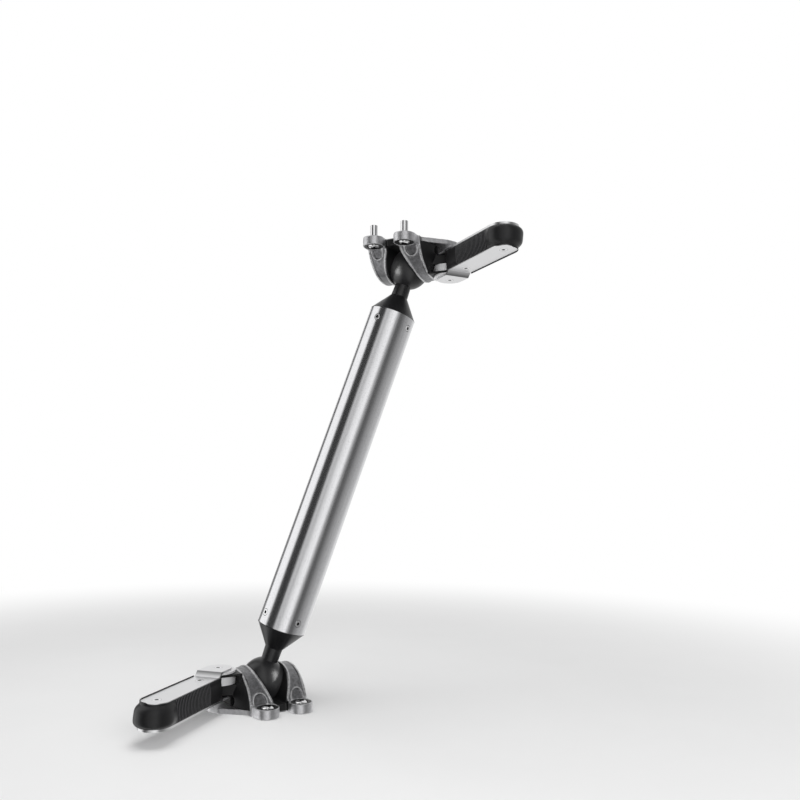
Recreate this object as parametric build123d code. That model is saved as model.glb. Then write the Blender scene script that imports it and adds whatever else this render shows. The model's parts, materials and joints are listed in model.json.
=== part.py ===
"""Adjustable double-ball support arm: a 2 in tube between two cam-lever ball mounts.

Frame: millimetres, +Z up. The origin is on the deck plane, under the lower ball. +X runs along
the lower mount's clamp axis, away from its lever. The upper mount is the lower one turned half
a turn about a level line through the middle of the tube.
"""
import os
from math import cos, radians, sin, sqrt

from build123d import *

# ---- driving dimensions (mm, degrees) ----
TUBE_OD = 50.8
TUBE_WALL = 1.65
TUBE_LENGTH = 354.0
ARM_LEAN = 18.8             # of the tube from vertical
ARM_HEADING = -30.0         # direction that the tube leans in, from +X
BALL_D = 44.45
BALL_HEIGHT = 23.0          # of its centre over the deck

NECK_R = 8.75
NECK_LENGTH = 13.0          # from the ball's flat to the cone
NECK_FLARE = 0.6            # the neck is this much thicker where it meets the cone
CONE_LENGTH = 21.0
CONE_EDGE = 0.6             # rounding where the cone meets the shoulder
CAP_RIM = 1.2               # black shoulder between the cone and the tube's end
SPIGOT_LENGTH = 24.0
STUD_R = 5.0                # of the neck's end inside the ball
STUD_LENGTH = 14.0
TUBE_SCREW_R = 2.0
TUBE_SCREW_HEAD_R = 3.6
TUBE_SCREW_INSET = 11.5     # from the tube's end
TUBE_SCREW_COUNT = 4
TUBE_SCREW_LENGTH = 10.0
TUBE_SCREW_PHASE = 37.0     # first screw, round the tube from its leaning side
TUBE_SCREW_WEB = 0.4        # metal left under the hexagon of a screw's head

SADDLE_R = 42.0             # radius of the arches at their outer faces
SADDLE_CROWN = 2.8          # how much fuller the saddle is at its middle
SADDLE_CENTRE = -5.3        # height of the arches' centre line
SLOT_SIDE = ((5.5, 7.0), (15.5, 31.0), (17.8, 40.0))   # half width of the neck's slot, by height
DRAIN_R = 13.0
RIM_WIDTH = 2.4
PANEL_DEPTH = 0.9
POCKET_HALF = 6.0
POCKET_X = 20.0
POCKET_TOP = 18.5
POCKET_DEPTH = 1.5
POCKET_RIM = 1.4

LUG_X = 18.0
LUG_REACH = 9.5             # of the lugs' centres past the arches' outer faces
LUG_R = 11.5
LUG_HEIGHT = 9.5
LUG_ROOT = 6.0              # how deep a lug's tongue starts inside the saddle
FLANGE_T = 5.0
FLANGE_REACH = 28.0         # past the arch's outer face
FLANGE_SHOULDER = (22.5, 15.5)   # corner of the tongue: past the outer face, and half width
FLANGE_TIP_HALF = 5.0
FLANGE_ROOT_HALF = 37.5
FLANGE_FILLET = 8.0
DECK_SCREW_R = 4.0
DECK_SHOULDER_R = 4.3
DECK_HOLE_R = 4.5
DECK_HEAD_R = 7.0
DECK_HEAD_H = 4.4
DECK_HEAD_ROUND = 2.6
DECK_HEX = 5.0              # across flats
DECK_HEX_DEPTH = 2.8
DECK_WASHER_R = 10.0
DECK_WASHER_T = 1.2
DECK_WASHER_SINK = 0.3      # of the cup washer's rim under the lug's top
DECK_SINK = 4.4             # depth of the counterbore in each lug
DECK_SCREW_LENGTH = 20.0    # under the head

JAW_BORE_R = 12.0
PAD_T = 3.075               # thinnest part of a seat pad, on the clamp axis
PAD_EDGE = 0.6              # where a pad's rim starts, as a share of the ball's radius
DISC_T = 2.2
END_WALL = 3.0              # of the base, behind the backing disc
PLUNGER_T = 3.5
PLUNGER_ROD_R = 8.0
PAD_PIVOT_R = 3.0           # of the spigot that each pad turns on
PAD_PIVOT_DEPTH = 1.0
BOSS_R = 6.5
BOSS_LENGTH = 1.5
ADJUSTER_R = 4.0
ADJUSTER_TIP = 2.0          # past the boss
ADJUSTER_HEX = 4.0
ADJUSTER_HEX_DEPTH = 4.0
ADJUSTER_CHAMFER = 0.6

LEVER_AZIMUTH = 218.9       # of the closed lever
LEVER_SWING = 90.0          # that it opens by, clockwise from above
PLATE_HALF = 13.5
LOWER_HALF = 15.3           # the lower plate is wider than the upper one
PLATE_T = 2.0
GRIP_RISE = 11.0            # of the grip's top over the ball's centre
GRIP_H = 19.0
GRIP_START = 18.0
GRIP_SIDE_BULGE = 2.2
GRIP_END_BULGE = 5.4
TAB_RISE = 4.4
BEND_START = 16.2           # of the joggle between the tab and the flat plate
BEND_END = 20.6
BEND_LAP = 1.2              # how far the joggle runs into the plate on both sides
BEND_SKEW = 0.4             # half the offset between the joggle's two faces
SCREW_IN = 34.5
SCREW_OUT = 105.0
CAM_R = 16.5
CAM_THROW = 1.5
CAM_PHASE = 15.0            # of the closed cam, past its dead centre
CAM_GAP = 0.15              # between the closed cam and the plunger
PIVOT_R = 4.0
HUB_DISC_R = 17.5
CORE_HALF = 7.0             # half width of the cam's bar inside the grip
CORE_END = 114.0
CORE_COVER = 3.0            # rubber over the bar
LEVER_SCREW_R = 2.0
LEVER_HEAD_R = 4.2
LEVER_HEAD_T = 1.6
LEVER_SCREW_REACH = 9.0
SMALL_HEX = 2.5             # across flats, in the lever's and the tube's screws
SMALL_HEX_DEPTH = 1.0
SPACER_R = 3.4

EAR_LOW_R = 13.0
EAR_LOW_ROOT = 18.0         # half width where the lower ear leaves the dome
EAR_LOW_T = 10.3
EAR_HIGH_R = 17.5
EAR_HIGH_ROOT = 19.5
EAR_HIGH_T = 2.2
FORK_ROOT = 3.0             # length of the block that joins both ears to the dome
DOME_INSET = 0.8            # of the dome's rim from the arch's edge
DOME_LENGTH = 9.0
DOME_NOSE_R = 22.0
DOME_BULGE = (0.55, 0.62)   # middle of the dome's curve, as shares of its length and its rise
HOUSING_BOLT_Y = 16.0
HOUSING_BOLT_Z = 9.6
HOUSING_BOLT_R = 2.5
HOUSING_BOLT_LENGTH = 12.0
HOUSING_HEAD_R = 4.2
HOUSING_HEAD_T = 2.4
HOUSING_SEAT = 1.6          # metal under a housing bolt's head

RUN_FIT = 0.05              # radial, for pins and pistons
SEAT_FIT = 0.2              # between the ball and its seats
POCKET_FIT = 0.4            # between the ball and the casting
GAP = 0.3                   # between pieces that move past each other
PLATE_SWEEP = 1.0           # room round the lower plate's end
SNUG = 0.1                  # radial, for screws in their holes
PAST = 1.0                  # how far a cut runs past the face it opens

# ---- places that follow from them ----
BALL_R = BALL_D / 2
POCKET_R = BALL_R + POCKET_FIT
BALL_FLAT = sqrt(BALL_R**2 - NECK_R**2)
TUBE_START = BALL_FLAT + NECK_LENGTH + CONE_LENGTH + CAP_RIM   # from the ball's centre
HALF_SPAN = TUBE_START + TUBE_LENGTH / 2
BALL = Vector(0, 0, BALL_HEIGHT)
ARM_DIR = Vector(sin(radians(ARM_LEAN)) * cos(radians(ARM_HEADING)),
                 sin(radians(ARM_LEAN)) * sin(radians(ARM_HEADING)),
                 cos(radians(ARM_LEAN)))
CENTRE = BALL + ARM_DIR * HALF_SPAN
TURN_DIR = Vector(-sin(radians(ARM_HEADING)), cos(radians(ARM_HEADING)), 0)
TURN = Axis(CENTRE, TURN_DIR)
SEAT_R = BALL_R + SEAT_FIT
PISTON_R = JAW_BORE_R - RUN_FIT
PAD_BACK = SEAT_R + PAD_T           # distances along the clamp axis from the ball's centre
BORE_END = PAD_BACK + GAP + DISC_T
SADDLE_HALF = BORE_END + END_WALL
PLUNGER_BACK = PAD_BACK + GAP + PLUNGER_T
ADJUSTER_END = SADDLE_HALF + BOSS_LENGTH + ADJUSTER_TIP
PIVOT_X = -(SADDLE_HALF + CAM_R + CAM_THROW)
CAM_FACE = PIVOT_X + CAM_R + CAM_THROW * cos(radians(CAM_PHASE))
GRIP_TOP = BALL_HEIGHT + GRIP_RISE
GRIP_BOTTOM = GRIP_TOP - GRIP_H
TAB_TOP = GRIP_TOP + PLATE_T + TAB_RISE
TAB_UNDER = TAB_TOP - PLATE_T
EAR_LOW = GRIP_BOTTOM + GAP
EAR_LOW_TOP = EAR_LOW + EAR_LOW_T
EAR_HIGH_TOP = GRIP_TOP + EAR_HIGH_T
CAM_LOW = EAR_LOW_TOP + GAP
CAM_HIGH = GRIP_TOP - GAP
LUG_Y = SADDLE_R + LUG_REACH
LUG_SPOTS = [(i * LUG_X, j * LUG_Y) for i in (-1, 1) for j in (-1, 1)]
DECK_SEAT = LUG_HEIGHT - DECK_SINK
DECK_HEAD_Z = DECK_SEAT + DECK_WASHER_T
DECK_SCREW_TIP = DECK_HEAD_Z - DECK_SCREW_LENGTH
SADDLE_TOP = SADDLE_CENTRE + SADDLE_R + SADDLE_CROWN
WIDE = 2 * SADDLE_R         # longer than the base is deep


def rod(r, start, end):
    """Cylinder from one point to another."""
    line = Vector(*end) - Vector(*start)
    return Plane(origin=start, z_dir=line) * Cylinder(
        r, line.length, align=(Align.CENTER, Align.CENTER, Align.MIN))


def rod_x(r, x0, x1):
    """Cylinder on the clamp axis."""
    return rod(r, (x0, 0, BALL_HEIGHT), (x1, 0, BALL_HEIGHT))


def rod_z(r, x, y, z0, z1):
    return rod(r, (x, y, z0), (x, y, z1))


def box(x0, x1, y0, y1, z0, z1):
    return Pos((x0 + x1) / 2, (y0 + y1) / 2, (z0 + z1) / 2) * Box(x1 - x0, y1 - y0, z1 - z0)


def hexagon(af, x, y, z0, z1):
    """Upright hexagonal prism, by its size across flats."""
    return Pos(x, y, z0) * extrude(RegularPolygon(af / 2, 6, major_radius=False), z1 - z0)


def slab(outline, z0, z1):
    return Pos(0, 0, z0) * extrude(outline, z1 - z0)


# ---- the base ----
def mirrored(side):
    """A closed outline from one side's points and their mirror images."""
    return make_face(Polyline(*side, *[(-a, b) for a, b in reversed(side)], close=True))


def slot_profile(grow=0.0):
    """The funnel-shaped slot that the neck swings in, drawn in X and Z."""
    side = [(half + grow, height) for half, height in SLOT_SIDE]
    return mirrored(side + [(side[-1][0], SADDLE_TOP + PAST)])


def along_y(profile, reach=WIDE):
    """A profile drawn in X and Z, run both ways along Y."""
    return Plane.XZ * Pos(0, 0, -reach) * extrude(profile, 2 * reach)


def turned(points, arc):
    """A solid of revolution about the arches' centre line, from a section's points and its arc."""
    face = make_face(Polyline(*points) + ThreePointArc(*arc))
    return Pos(0, 0, SADDLE_CENTRE) * revolve(Plane.XZ * face, Axis.X, 360)


def barrel(grow, half):
    """The barrel that the arches' outer surface is part of."""
    rim = -(SADDLE_R + grow)
    return turned([(-half, rim), (-half, 0), (half, 0), (half, rim)],
                  ((half, rim), (0, rim - SADDLE_CROWN), (-half, rim)))


def saddle():
    """The part of the barrel above the deck, that both arches are cut from."""
    return barrel(0, SADDLE_HALF) - box(-WIDE, WIDE, -WIDE, WIDE, -WIDE, 0)


def arch_skin(depth):
    """The outer skin of the saddle, to a depth."""
    return barrel(PAST, SADDLE_HALF) - barrel(-depth, SADDLE_HALF)


def panels():
    """The sunk panels between the raised rims of both arches."""
    span = SADDLE_HALF - RIM_WIDTH
    block = box(-span, span, -WIDE, WIDE, LUG_HEIGHT, SADDLE_TOP + PAST)
    return (arch_skin(PANEL_DEPTH) & (block - along_y(slot_profile(RIM_WIDTH)))) - foot_arches(POCKET_RIM)


def foot_arches(grow):
    """Prisms with the outline of the arch-shaped pockets above the lugs."""
    half = POCKET_HALF + grow
    spring = POCKET_TOP - POCKET_HALF
    arch = Pos(0, spring) * Circle(half) + Pos(0, spring / 2) * Rectangle(2 * half, spring)
    both = along_y(arch)
    return Pos(POCKET_X, 0, 0) * both + Pos(-POCKET_X, 0, 0) * both


def foot_pockets():
    above = box(-WIDE, WIDE, -WIDE, WIDE, LUG_HEIGHT, WIDE)
    return arch_skin(POCKET_DEPTH) & foot_arches(0) & above


def lug(x, y):
    """One deck lug: a tongue with a rounded end."""
    root = (SADDLE_R - LUG_ROOT) * (1 if y > 0 else -1)
    tongue = box(x - LUG_R, x + LUG_R, min(root, y), max(root, y), 0, LUG_HEIGHT)
    return tongue + rod_z(LUG_R, x, y, 0, LUG_HEIGHT)


def flange():
    """The tongue of the foot that runs out under the lever."""
    past, half = FLANGE_SHOULDER
    side = [(FLANGE_ROOT_HALF, -SADDLE_HALF + PAST), (half, -SADDLE_HALF - past),
            (FLANGE_TIP_HALF, -SADDLE_HALF - FLANGE_REACH)]
    outline = Rot(0, 0, 90) * mirrored([(y, -x) for y, x in side])
    far = outline.vertices().filter_by(lambda v: v.X < -SADDLE_HALF)
    return slab(fillet(far, FLANGE_FILLET), 0, FLANGE_T)


def base_casting():
    body = saddle() - panels() - foot_pockets()
    for x, y in LUG_SPOTS:
        body += lug(x, y)
    body += flange()
    body += rod_x(BOSS_R, SADDLE_HALF - PAST, SADDLE_HALF + BOSS_LENGTH)
    body -= along_y(slot_profile())
    body -= Pos(BALL) * Sphere(POCKET_R)
    body -= rod_z(DRAIN_R, 0, 0, -PAST, SLOT_SIDE[0][1] + PAST)
    body -= rod_x(JAW_BORE_R, -SADDLE_HALF - PAST, BORE_END)
    body -= rod_x(ADJUSTER_R + RUN_FIT, BORE_END - PAST, SADDLE_HALF + BOSS_LENGTH + PAST)
    for x, y in LUG_SPOTS:
        body -= rod_z(DECK_HOLE_R, x, y, -PAST, LUG_HEIGHT)
        body -= rod_z(DECK_WASHER_R + SNUG, x, y, DECK_SEAT, SADDLE_R)
    for y in (-HOUSING_BOLT_Y, HOUSING_BOLT_Y):
        body -= rod(HOUSING_BOLT_R + SNUG, (-SADDLE_HALF - PAST, y, HOUSING_BOLT_Z),
                    (-SADDLE_HALF + HOUSING_BOLT_LENGTH + GAP, y, HOUSING_BOLT_Z))
    return body


# ---- the lever housing on the base's left face ----
def ear(r, root, z0, z1):
    """One ear of the fork: round the pivot, and widening towards the dome."""
    side = [(r, -PIVOT_X), (root, SADDLE_HALF + GAP), (root, SADDLE_HALF)]
    strip = Rot(0, 0, 90) * mirrored(side)
    return slab(strip + Pos(PIVOT_X, 0) * Circle(r), z0, z1)


def dome():
    """The convex shell that closes the arch's outer face, down to the flange."""
    rim = SADDLE_R - DOME_INSET
    nose = -SADDLE_HALF - DOME_LENGTH
    along, rise = DOME_BULGE
    bulge = (-SADDLE_HALF - along * DOME_LENGTH, -(DOME_NOSE_R + rise * (rim - DOME_NOSE_R)))
    shell = turned([(nose, -DOME_NOSE_R), (nose, 0), (-SADDLE_HALF, 0), (-SADDLE_HALF, -rim)],
                   ((-SADDLE_HALF, -rim), bulge, (nose, -DOME_NOSE_R)))
    return shell - box(-WIDE, WIDE, -WIDE, WIDE, -WIDE, FLANGE_T)


def plate_room():
    """The room that the lower plate sweeps when the lever turns."""
    low = GRIP_BOTTOM - PLATE_T - GAP
    room = rod_z(LOWER_HALF + PLATE_SWEEP, PIVOT_X, 0, low, EAR_LOW)
    strip = slab(Pos(SCREW_OUT / 2, 0) * Rectangle(SCREW_OUT, 2 * (LOWER_HALF + GAP)), low, EAR_LOW)
    for azimuth in (LEVER_AZIMUTH, LEVER_AZIMUTH - LEVER_SWING):
        room += Pos(PIVOT_X, 0, 0) * Rot(0, 0, azimuth) * strip
    return room


def lever_housing():
    block = box(-SADDLE_HALF - FORK_ROOT, -SADDLE_HALF, -EAR_HIGH_ROOT, EAR_HIGH_ROOT, EAR_LOW, EAR_HIGH_TOP)
    body = dome() + block + ear(EAR_LOW_R, EAR_LOW_ROOT, EAR_LOW, EAR_LOW_TOP)
    body += ear(EAR_HIGH_R, EAR_HIGH_ROOT, GRIP_TOP, EAR_HIGH_TOP)
    body -= rod_z(CAM_R + CAM_THROW + 2 * GAP, PIVOT_X, 0, EAR_LOW_TOP, GRIP_TOP)
    body -= plate_room()
    body -= rod_z(PIVOT_R + RUN_FIT, PIVOT_X, 0, EAR_LOW - PAST, EAR_HIGH_TOP + PAST)
    body -= rod_x(PLUNGER_ROD_R + RUN_FIT, -SADDLE_HALF - 2 * CAM_THROW, -SADDLE_HALF + PAST)
    lead = -SADDLE_HALF - DOME_LENGTH - PAST
    for y in (-HOUSING_BOLT_Y, HOUSING_BOLT_Y):
        body -= rod(HOUSING_BOLT_R + SNUG, (lead, y, HOUSING_BOLT_Z), (-SADDLE_HALF + PAST, y, HOUSING_BOLT_Z))
        body -= rod(HOUSING_HEAD_R + SNUG, (lead, y, HOUSING_BOLT_Z),
                    (-SADDLE_HALF - HOUSING_SEAT, y, HOUSING_BOLT_Z))
    return body


def housing_bolts():
    """Two cap screws that hold the housing on the base."""
    seat = -SADDLE_HALF - HOUSING_SEAT
    bolts = []
    for y in (-HOUSING_BOLT_Y, HOUSING_BOLT_Y):
        head = rod(HOUSING_HEAD_R, (seat - HOUSING_HEAD_T, y, HOUSING_BOLT_Z), (seat, y, HOUSING_BOLT_Z))
        shank = rod(HOUSING_BOLT_R, (seat, y, HOUSING_BOLT_Z),
                    (-SADDLE_HALF + HOUSING_BOLT_LENGTH, y, HOUSING_BOLT_Z))
        bolts.append(head + shank)
    return Compound(children=bolts)


# ---- the clamp inside the base ----
def left_seat_pad():
    """A round pad with a spherical seat. It turns in the bore as the ball swings."""
    disc = rod_x(PISTON_R, -PAD_EDGE * BALL_R, -PAD_BACK) - Pos(BALL) * Sphere(SEAT_R)
    return disc - rod_x(PAD_PIVOT_R + RUN_FIT, -PAD_BACK + PAD_PIVOT_DEPTH + GAP, -PAD_BACK)


def right_seat_pad():
    return mirror(left_seat_pad(), Plane.YZ)


def thrust_plunger():
    """The piston that the cam pushes against the left pad."""
    body = rod_x(PISTON_R, -PAD_BACK - GAP, -PLUNGER_BACK)
    body += rod_x(PLUNGER_ROD_R, -PLUNGER_BACK, CAM_FACE + CAM_GAP)
    return body + rod_x(PAD_PIVOT_R, -PAD_BACK - GAP, -PAD_BACK + PAD_PIVOT_DEPTH)


def backing_disc():
    """The steel disc between the right pad and the adjuster screw."""
    return rod_x(PISTON_R, PAD_BACK + GAP, BORE_END) + rod_x(
        PAD_PIVOT_R, PAD_BACK - PAD_PIVOT_DEPTH, PAD_BACK + GAP)


def along_x(solid, x):
    """Turn an upright piece to lie on the clamp axis, from x outwards."""
    return Pos(x, 0, BALL_HEIGHT) * Rot(0, 90, 0) * solid


def adjuster_screw():
    length = ADJUSTER_END - BORE_END
    screw = rod_z(ADJUSTER_R, 0, 0, 0, length)
    screw = chamfer(screw.edges().sort_by(Axis.Z)[-1], ADJUSTER_CHAMFER)
    return along_x(screw - hexagon(ADJUSTER_HEX, 0, 0, length - ADJUSTER_HEX_DEPTH, length + PAST), BORE_END)


# ---- deck fixings ----
def deck_screws():
    """Four M8 button-head screws sunk in the lugs, standing out below the foot."""
    top = DECK_HEAD_Z + DECK_HEAD_H
    screws = []
    for x, y in LUG_SPOTS:
        head = rod_z(DECK_HEAD_R, x, y, DECK_HEAD_Z, top)
        head = fillet(head.edges().sort_by(Axis.Z)[-1], DECK_HEAD_ROUND)
        shoulder = rod_z(DECK_SHOULDER_R, x, y, 0, DECK_HEAD_Z)
        thread = rod_z(DECK_SCREW_R, x, y, DECK_SCREW_TIP, 0)
        screws.append(head + shoulder + thread - hexagon(DECK_HEX, x, y, top - DECK_HEX_DEPTH, top + PAST))
    return Compound(children=screws)


def deck_washers():
    """Black cup washers that line the counterbores round the screws' heads."""
    cups = []
    for x, y in LUG_SPOTS:
        cup = rod_z(DECK_WASHER_R, x, y, DECK_SEAT, LUG_HEIGHT - DECK_WASHER_SINK)
        cup -= rod_z(DECK_HEAD_R + SNUG, x, y, DECK_HEAD_Z, LUG_HEIGHT)
        cups.append(cup - rod_z(DECK_SHOULDER_R + SNUG, x, y, DECK_SEAT - PAST, DECK_HEAD_Z + PAST))
    return Compound(children=cups)


# ---- the lever, drawn along +X from its pivot and then turned ----
def on_lever(solid):
    return Pos(PIVOT_X, 0, 0) * Rot(0, 0, LEVER_AZIMUTH) * solid


def plate_outline(start, end, half):
    """A strip of a plate, from start to end along the lever."""
    return Pos((start + end) / 2, 0) * Rectangle(end - start, 2 * half)


def screw_seat(x, face, inward):
    """The countersink and hole for one lever screw, from a plate's outer face."""
    hole = rod_z(LEVER_SCREW_R + SNUG, x, 0, face - 3 * PLATE_T, face + 3 * PLATE_T)
    seat = rod_z(LEVER_HEAD_R + SNUG, x, 0, face, face + inward * LEVER_HEAD_T)
    return hole + seat


def upper_plate():
    """The plate over the grip, with its joggled tab over the fork."""
    top = GRIP_TOP + PLATE_T
    end = Pos(SCREW_OUT, 0) * Circle(PLATE_HALF)
    flat = slab(plate_outline(BEND_END, SCREW_OUT, PLATE_HALF) + end, GRIP_TOP, top)
    tab = slab(plate_outline(0, BEND_START, PLATE_HALF) + Circle(PLATE_HALF), TAB_UNDER, TAB_TOP)
    loop = [(BEND_START - BEND_LAP, TAB_UNDER), (BEND_START - BEND_LAP, TAB_TOP),
            (BEND_START + BEND_SKEW, TAB_TOP), (BEND_END + BEND_SKEW, top), (BEND_END + BEND_LAP, top),
            (BEND_END + BEND_LAP, GRIP_TOP), (BEND_END - BEND_SKEW, GRIP_TOP),
            (BEND_START - BEND_SKEW, TAB_UNDER)]
    body = flat + tab + along_y(make_face(Polyline(*loop, close=True)), PLATE_HALF)
    body -= screw_seat(0, TAB_TOP, -1)
    for x in (SCREW_IN, SCREW_OUT):
        body -= screw_seat(x, top, -1)
    return on_lever(body)


def lower_plate():
    end = Circle(LOWER_HALF)
    outline = plate_outline(0, SCREW_OUT, LOWER_HALF) + end + Pos(SCREW_OUT, 0) * end
    body = slab(outline, GRIP_BOTTOM - PLATE_T, GRIP_BOTTOM)
    for x in (0, SCREW_IN, SCREW_OUT):
        body -= screw_seat(x, GRIP_BOTTOM - PLATE_T, 1)
    return on_lever(body)


def bulged_side(bulge):
    """Half section of the grip's side: upright distance against height."""
    low = (LOWER_HALF, GRIP_BOTTOM)
    high = (PLATE_HALF, GRIP_TOP)
    arc = ThreePointArc(low, (PLATE_HALF + bulge, GRIP_TOP - GRIP_H / 2), high)
    return make_face(arc + Polyline(high, (0, GRIP_TOP), (0, GRIP_BOTTOM), low))


def core_bar(grow):
    """The cam's straight bar, or the room for it inside the grip."""
    high = GRIP_TOP - CORE_COVER
    return box(0, CORE_END + grow, -CORE_HALF - grow, CORE_HALF + grow, CAM_LOW - grow, high + grow)


def grip():
    """The rubber grip, with a barrel-shaped outer end."""
    half = Plane.YZ * Pos(0, 0, GRIP_START) * extrude(bulged_side(GRIP_SIDE_BULGE), SCREW_OUT - GRIP_START)
    body = half + mirror(half, Plane.XZ)
    barrel = revolve(Plane.XZ * bulged_side(GRIP_END_BULGE), Axis.Z, 360)
    body += Pos(SCREW_OUT, 0, 0) * barrel
    body -= core_bar(SNUG)
    for x in (SCREW_IN, SCREW_OUT):
        body -= rod_z(SPACER_R + SNUG, x, 0, GRIP_BOTTOM - PAST, GRIP_TOP + PAST)
    return on_lever(body)


def cam_core():
    """The polished cam, in one with the bar that runs through the grip."""
    turn = radians(-CAM_PHASE - LEVER_AZIMUTH)
    cam = rod_z(CAM_R, CAM_THROW * cos(turn), CAM_THROW * sin(turn), CAM_LOW, CAM_HIGH)
    body = cam + core_bar(0)
    body -= rod_z(PIVOT_R + RUN_FIT, 0, 0, CAM_LOW - PAST, CAM_HIGH + PAST)
    for x in (SCREW_IN, SCREW_OUT):
        body -= rod_z(SPACER_R + SNUG, x, 0, CAM_LOW - PAST, CAM_HIGH + PAST)
    return on_lever(body)


def hub_disc():
    """The polished disc between the upper ear and the tab, flat where the plate bends down."""
    disc = rod_z(HUB_DISC_R, 0, 0, EAR_HIGH_TOP + GAP, TAB_UNDER)
    disc -= box(BEND_START - BEND_LAP - SNUG, HUB_DISC_R + PAST, -HUB_DISC_R, HUB_DISC_R, EAR_HIGH_TOP, TAB_TOP)
    return on_lever(disc - rod_z(PIVOT_R + RUN_FIT, 0, 0, EAR_HIGH_TOP, TAB_TOP))


def tapped_rod(r, x, low, high):
    """A rod between the plates with a blind hole for a screw in each end."""
    hole = LEVER_SCREW_R + SNUG
    depth = LEVER_SCREW_REACH + GAP
    return rod_z(r, x, 0, low, high) - rod_z(hole, x, 0, low - PAST, low + depth) - rod_z(
        hole, x, 0, high - depth, high + PAST)


def pivot_pin():
    return on_lever(tapped_rod(PIVOT_R, 0, GRIP_BOTTOM, TAB_UNDER))


def grip_spacers():
    spacers = [on_lever(tapped_rod(SPACER_R, x, GRIP_BOTTOM, GRIP_TOP)) for x in (SCREW_IN, SCREW_OUT)]
    return Compound(children=spacers)


def lever_screw(x, face, inward):
    """One flush socket screw, driven in from a plate's outer face."""
    seat = face + inward * LEVER_HEAD_T
    head = rod_z(LEVER_HEAD_R, x, 0, face, seat)
    shank = rod_z(LEVER_SCREW_R, x, 0, seat, face + inward * (PLATE_T + LEVER_SCREW_REACH))
    deep = face + inward * SMALL_HEX_DEPTH
    socket = hexagon(SMALL_HEX, x, 0, min(face, deep), max(face, deep))
    return on_lever(head + shank - socket)


def pivot_screws():
    return Compound(children=[lever_screw(0, TAB_TOP, -1), lever_screw(0, GRIP_BOTTOM - PLATE_T, 1)])


def grip_screws():
    faces = ((GRIP_TOP + PLATE_T, -1), (GRIP_BOTTOM - PLATE_T, 1))
    return Compound(children=[lever_screw(x, face, way) for x in (SCREW_IN, SCREW_OUT) for face, way in faces])


# ---- the arm, drawn up +Z from the lower ball's centre and then leaned ----
def arm_plane():
    """Plane at the lower ball's centre, with Z along the arm and X down its leaning side."""
    return Plane(origin=BALL, x_dir=TURN_DIR.cross(ARM_DIR), z_dir=ARM_DIR)


def on_arm(solid):
    return arm_plane() * solid


def half_turned(solid):
    """The same piece at the arm's upper end."""
    return solid.rotate(TURN, 180)


def ball():
    body = Sphere(BALL_R) - box(-BALL_R, BALL_R, -BALL_R, BALL_R, BALL_FLAT, BALL_R + PAST)
    return on_arm(body - rod_z(STUD_R + RUN_FIT, 0, 0, BALL_FLAT - STUD_LENGTH - GAP, BALL_R))


def tube_screw_spots():
    step = 360 / TUBE_SCREW_COUNT
    return [TUBE_SCREW_PHASE + i * step for i in range(TUBE_SCREW_COUNT)]


def radial(solid, angle):
    """A piece drawn up +Z from the tube's centre line, turned to point outwards."""
    return Pos(0, 0, TUBE_START + TUBE_SCREW_INSET) * Rot(0, 0, angle) * Rot(0, 90, 0) * solid


def ball_stem():
    """Stud, neck, cone, shoulder and the spigot inside the tube, in one turned piece."""
    foot = BALL_FLAT + SNUG
    neck_end = BALL_FLAT + NECK_LENGTH
    cone_end = neck_end + CONE_LENGTH
    rim = TUBE_OD / 2
    spigot = rim - TUBE_WALL - RUN_FIT
    points = [(0, foot - STUD_LENGTH), (STUD_R, foot - STUD_LENGTH), (STUD_R, foot), (NECK_R, foot),
              (NECK_R + NECK_FLARE, neck_end), (rim - CONE_EDGE, cone_end), (rim, cone_end + CONE_EDGE),
              (rim, cone_end + CAP_RIM), (spigot, cone_end + CAP_RIM),
              (spigot, cone_end + CAP_RIM + SPIGOT_LENGTH), (0, cone_end + CAP_RIM + SPIGOT_LENGTH)]
    body = revolve(Plane.XZ * make_face(Polyline(*points, close=True)), Axis.Z, 360)
    for angle in tube_screw_spots():
        body -= radial(rod_z(TUBE_SCREW_R + SNUG, 0, 0, rim - TUBE_SCREW_LENGTH - GAP, rim), angle)
    return on_arm(body)


def tube():
    top = TUBE_START + TUBE_LENGTH
    outside = rod_z(TUBE_OD / 2, 0, 0, TUBE_START, top)
    body = outside - rod_z(TUBE_OD / 2 - TUBE_WALL, 0, 0, TUBE_START - PAST, top + PAST)
    hole = rod_z(TUBE_SCREW_HEAD_R + SNUG, 0, 0, TUBE_OD / 2 - 2 * TUBE_WALL, TUBE_OD / 2 + PAST)
    holes = [radial(hole, angle) for angle in tube_screw_spots()]
    lower = on_arm(Compound(children=holes))
    return on_arm(body) - lower - half_turned(lower)


def tube_screws():
    """Flush socket screws through the tube's end into the spigot."""
    top = TUBE_OD / 2 - SNUG
    seat = TUBE_OD / 2 - TUBE_WALL
    screws = []
    for angle in tube_screw_spots():
        head = rod_z(TUBE_SCREW_HEAD_R, 0, 0, seat, top)
        shank = rod_z(TUBE_SCREW_R, 0, 0, TUBE_OD / 2 - TUBE_SCREW_LENGTH, seat)
        socket = hexagon(SMALL_HEX, 0, 0, seat + TUBE_SCREW_WEB, top + PAST)
        screws.append(on_arm(radial(head + shank - socket, angle)))
    return Compound(children=screws)


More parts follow.
